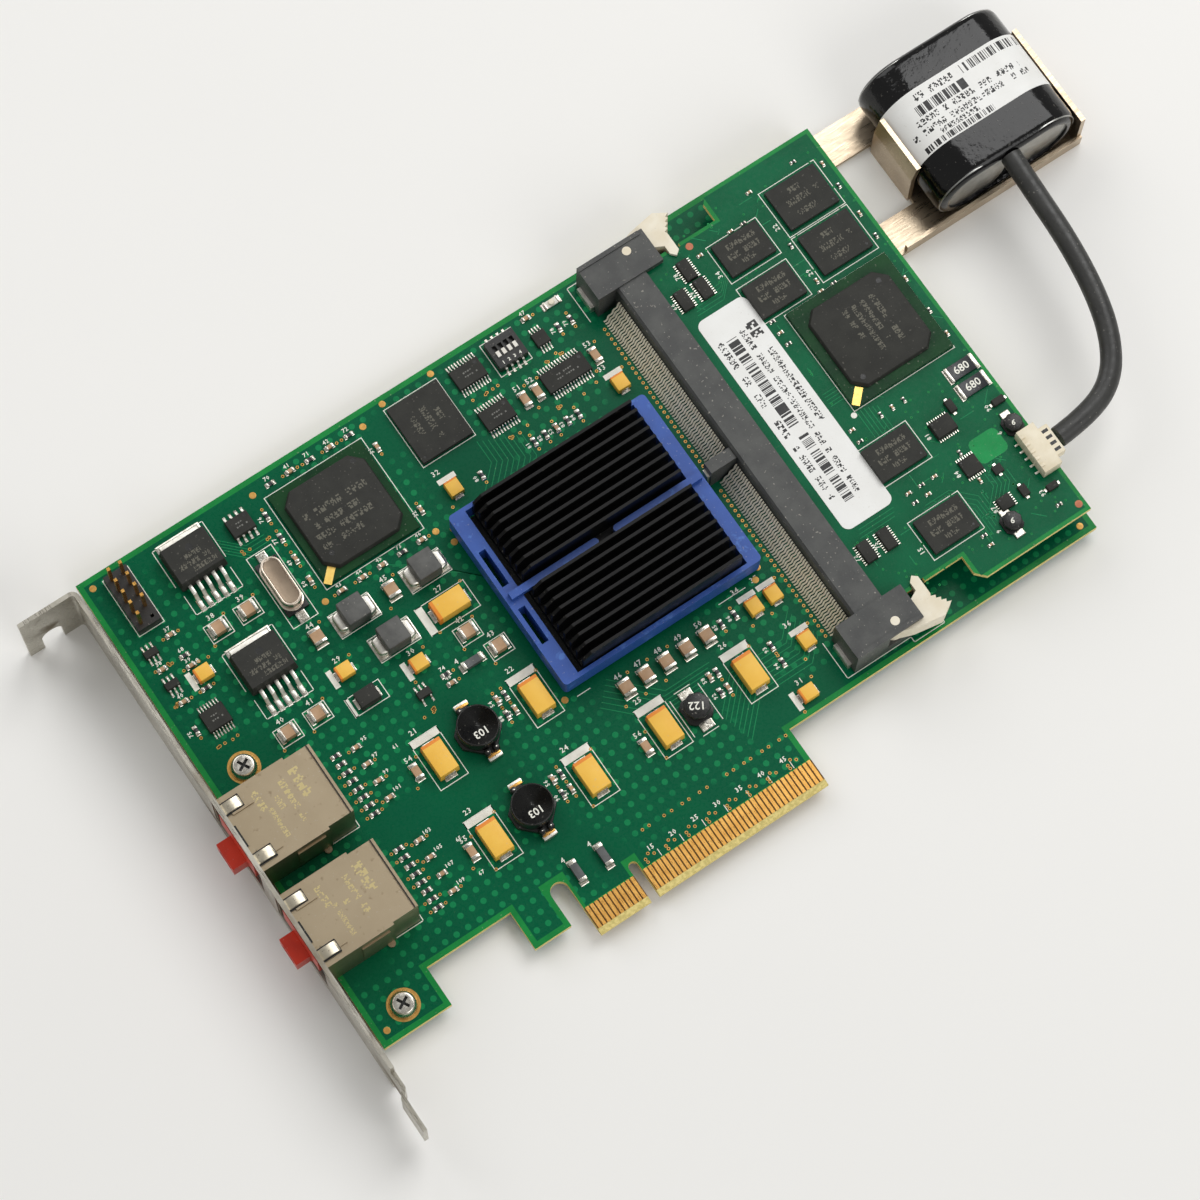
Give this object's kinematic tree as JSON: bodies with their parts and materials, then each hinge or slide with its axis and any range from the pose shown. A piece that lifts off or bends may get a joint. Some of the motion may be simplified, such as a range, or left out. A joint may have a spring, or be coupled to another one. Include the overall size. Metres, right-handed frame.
{
  "type": "raid controller card",
  "caption": "Half-length storage controller card with slot bracket, twin network jacks, finned heatsink, cache module in a latched socket and a cabled capacitor pack in a steel cradle.",
  "frame": {"origin": "middle of the card edge's key notch, at the lower end of the contacts, on the board's component side", "axes": "+X along the card away from the bracket, +Y up the card to its top edge, +Z out of the component side; the card lies on Z = -4 mm"},
  "size_m": [0.2272, 0.1249, 0.0184],
  "materials": {
    "green_board": "solder mask, satin",
    "gold": "plated",
    "bracket_steel": "nickel plated",
    "tin": "tin plated",
    "black_plastic": "moulded",
    "black_anodised": "black anodised",
    "blue_plastic": "moulded",
    "red_plastic": "moulded",
    "chip_black": "moulded",
    "ferrite": "ferrite",
    "tantalum_yellow": "moulded",
    "ceramic_tan": "fired ceramic",
    "white_plastic": "moulded",
    "cream_plastic": "moulded",
    "paper": "paper label",
    "black_sleeve": "shrink sleeve",
    "cell_can": "drawn can",
    "cradle_steel": "plated",
    "mask_blue_switch": "moulded"
  },
  "bodies": {
    "card": {"main_board": "green_board", "edge_contacts": "gold", "io_bracket": "bracket_steel", "board_screws": "bracket_steel", "jack_contacts": "tin", "processor_package": "green_board", "heatsink": "black_anodised", "heatsink_frame": "blue_plastic", "network_chip": "chip_black", "flash_chip": "chip_black", "small_chips": "chip_black", "chip_leads": "tin", "regulator_bodies": "chip_black", "regulator_leads": "tin", "crystal": "tin", "square_inductors": "ferrite", "power_inductors": "ferrite", "drum_inductor": "ferrite", "ferrites": "ferrite", "tantalum_capacitors_large": "tantalum_yellow", "tantalum_capacitors_small": "tantalum_yellow", "diode": "chip_black", "ceramic_capacitors_large": "ceramic_tan", "small_capacitors": "ceramic_tan", "small_resistors": "chip_black", "status_led": "white_plastic", "pin_header_body": "black_plastic", "pin_header_pins": "gold", "dip_switch_body": "mask_blue_switch", "memory_socket": "black_plastic", "latch_pins": "bracket_steel", "socket_contacts": "tin", "socket_hold_downs": "tin", "module_board": "green_board", "module_controller": "chip_black", "module_memory_chips": "chip_black", "module_flash_chips": "chip_black", "module_small_chips": "chip_black", "module_small_parts": "chip_black", "module_label": "paper", "cable_header": "white_plastic", "cable_plug": "white_plastic", "backup_cable": "black_sleeve", "capacitor_cells": "cell_can", "pack_sleeve": "black_sleeve", "pack_label": "paper", "pack_cradle": "cradle_steel", "cradle_spacers": "bracket_steel", "jack_shield_lower": "tin", "jack_shield_upper": "tin", "jack_housing_lower": "black_plastic", "jack_housing_upper": "black_plastic", "dust_plug_lower": "red_plastic", "dust_plug_upper": "red_plastic"},
    "switch_slider_1": {"switch_slider_1": "white_plastic"},
    "switch_slider_2": {"switch_slider_2": "white_plastic"},
    "switch_slider_3": {"switch_slider_3": "white_plastic"},
    "switch_slider_4": {"switch_slider_4": "white_plastic"},
    "latch_lower": {"latch_lower": "cream_plastic"},
    "latch_upper": {"latch_upper": "cream_plastic"}
  },
  "joints": [
    {"name": "latch_lower_swing", "type": "hinge", "parent": "card", "child": "latch_lower", "pos_m": [0.06569, 0.0173, 0.0056], "axis": [0, 0, 1], "range_deg": [-38, 0]},
    {"name": "latch_upper_swing", "type": "hinge", "parent": "card", "child": "latch_upper", "pos_m": [0.06569, 0.1066, 0.0056], "axis": [0, 0, 1], "range_deg": [0, 38]},
    {"name": "switch_slider_1_slide", "type": "slide", "parent": "card", "child": "switch_slider_1", "axis": [0, 1, 0], "range_m": [0, 0.0013]},
    {"name": "switch_slider_2_slide", "type": "slide", "parent": "card", "child": "switch_slider_2", "axis": [0, 1, 0], "range_m": [0, 0.0013]},
    {"name": "switch_slider_3_slide", "type": "slide", "parent": "card", "child": "switch_slider_3", "axis": [0, 1, 0], "range_m": [0, 0.0013]},
    {"name": "switch_slider_4_slide", "type": "slide", "parent": "card", "child": "switch_slider_4", "axis": [0, 1, 0], "range_m": [0, 0.0013]}
  ]
}
